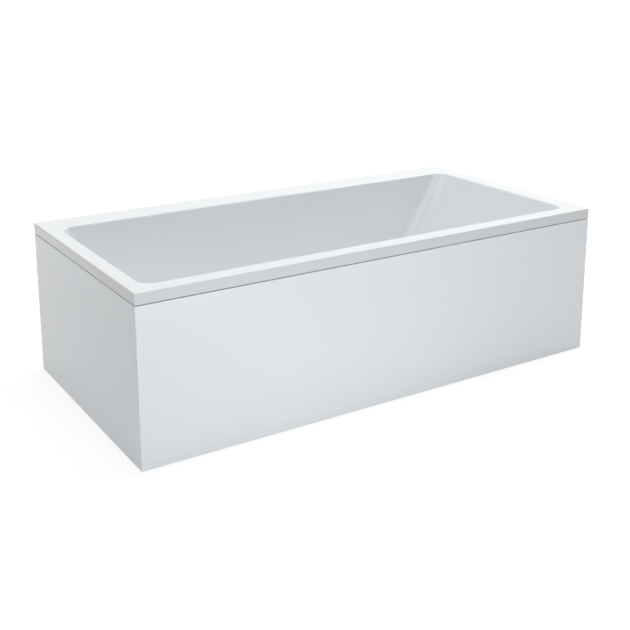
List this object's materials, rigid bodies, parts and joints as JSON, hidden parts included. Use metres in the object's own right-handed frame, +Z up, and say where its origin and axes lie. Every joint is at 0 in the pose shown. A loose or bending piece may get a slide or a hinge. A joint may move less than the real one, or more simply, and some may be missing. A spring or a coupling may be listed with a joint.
{
  "type": "bathtub",
  "caption": "Rectangular bathtub with a thin straight rim, one sloped end, two flat side panels, levelling feet and a pop-up waste and overflow.",
  "frame": {"origin": "on the floor under the middle of the rim", "axes": "+X towards the sloped head end, -Y out of the long front panel, +Z up"},
  "size_m": [1.8, 0.9, 0.55],
  "materials": {
    "acrylic": "polished white acrylic sheet, glass-fibre backed",
    "panel_acrylic": "polished white acrylic sheet",
    "timber": "planed softwood",
    "chipboard": "bare chipboard",
    "galvanised_steel": "zinc plated",
    "aluminium_angle": "mill finish",
    "foot_rubber": "black moulded",
    "chrome_trim": "polished chrome plate",
    "brass_parts": "bare brass",
    "seal_rubber": "soft black rubber",
    "waste_plastic": "white moulded polypropylene",
    "nut_plastic": "black moulded polypropylene",
    "hose_plastic": "grey ribbed hose",
    "cable_sheath": "black sheath",
    "magnet_case": "white moulded case"
  },
  "bodies": {
    "tub": {"tub_shell": "acrylic", "base_board": "chipboard", "rim_batten_front": "timber", "rim_batten_back": "timber", "rim_batten_foot": "timber", "rim_batten_head": "timber", "front_panel": "panel_acrylic", "end_panel": "panel_acrylic", "front_panel_backer": "chipboard", "end_panel_backer": "chipboard", "panel_corner_angle": "aluminium_angle", "corner_angle_screws": "galvanised_steel", "floor_batten_front": "timber", "floor_batten_end": "timber", "magnet_catches": "magnet_case", "striker_plates": "galvanised_steel", "panel_clips": "galvanised_steel", "clip_screws": "galvanised_steel", "wall_brackets": "galvanised_steel", "bracket_screws": "galvanised_steel", "cross_rail_foot": "galvanised_steel", "cross_rail_head": "galvanised_steel", "rail_screws": "galvanised_steel", "centre_foot_plate": "galvanised_steel", "plate_screws": "galvanised_steel", "lock_nuts": "galvanised_steel", "waste_flange": "chrome_trim", "waste_seal_upper": "seal_rubber", "waste_seal_lower": "seal_rubber", "waste_body": "waste_plastic", "lever_pin": "brass_parts", "union_nut": "nut_plastic", "trap_body": "waste_plastic", "trap_seal": "seal_rubber", "trap_cap": "nut_plastic", "outlet_nut": "nut_plastic", "outlet_pipe": "waste_plastic", "overflow_faceplate": "chrome_trim", "overflow_seal": "seal_rubber", "overflow_body": "waste_plastic", "overflow_hose": "hose_plastic", "hose_clips": "galvanised_steel", "pop_up_cable": "cable_sheath", "cable_ties": "waste_plastic"},
    "knob": {"overflow_knob": "chrome_trim", "knob_spindle": "brass_parts"},
    "lever": {"plug_lever": "brass_parts"},
    "plug": {"waste_plug": "chrome_trim", "plug_seal": "seal_rubber", "plug_stem": "brass_parts"},
    "foot_front_left": {"foot_rod_front_left": "galvanised_steel", "foot_pad_front_left": "foot_rubber"},
    "foot_back_left": {"foot_rod_back_left": "galvanised_steel", "foot_pad_back_left": "foot_rubber"},
    "foot_front_right": {"foot_rod_front_right": "galvanised_steel", "foot_pad_front_right": "foot_rubber"},
    "foot_back_right": {"foot_rod_back_right": "galvanised_steel", "foot_pad_back_right": "foot_rubber"},
    "foot_centre": {"foot_rod_centre": "galvanised_steel", "foot_pad_centre": "foot_rubber"}
  },
  "joints": [
    {"name": "knob_turn", "type": "hinge", "parent": "tub", "child": "knob", "pos_m": [-0.83354, -0.028, 0.468], "axis": [0.9848, 0, 0.1736], "range_deg": [0, 90]},
    {"name": "lever_swing", "type": "hinge", "parent": "tub", "child": "lever", "pos_m": [-0.62118, -0.028, 0.08814], "axis": [0, 1, 0], "range_deg": [0, 30]},
    {"name": "plug_lift", "type": "slide", "parent": "tub", "child": "plug", "axis": [0, 0, 1], "range_m": [0, 0.0083]},
    {"name": "front_left_foot_height", "type": "slide", "parent": "tub", "child": "foot_front_left", "axis": [0, 0, -1], "range_m": [-0.015, 0.015]},
    {"name": "back_left_foot_height", "type": "slide", "parent": "tub", "child": "foot_back_left", "axis": [0, 0, -1], "range_m": [-0.015, 0.015]},
    {"name": "front_right_foot_height", "type": "slide", "parent": "tub", "child": "foot_front_right", "axis": [0, 0, -1], "range_m": [-0.015, 0.015]},
    {"name": "back_right_foot_height", "type": "slide", "parent": "tub", "child": "foot_back_right", "axis": [0, 0, -1], "range_m": [-0.015, 0.015]},
    {"name": "centre_foot_height", "type": "slide", "parent": "tub", "child": "foot_centre", "axis": [0, 0, -1], "range_m": [-0.015, 0.015]}
  ],
  "couplings": [
    {"joint": "lever_swing", "follows": "knob_turn", "ratio": 0.33333},
    {"joint": "plug_lift", "follows": "knob_turn", "m_per_rad": 0.0052726}
  ]
}
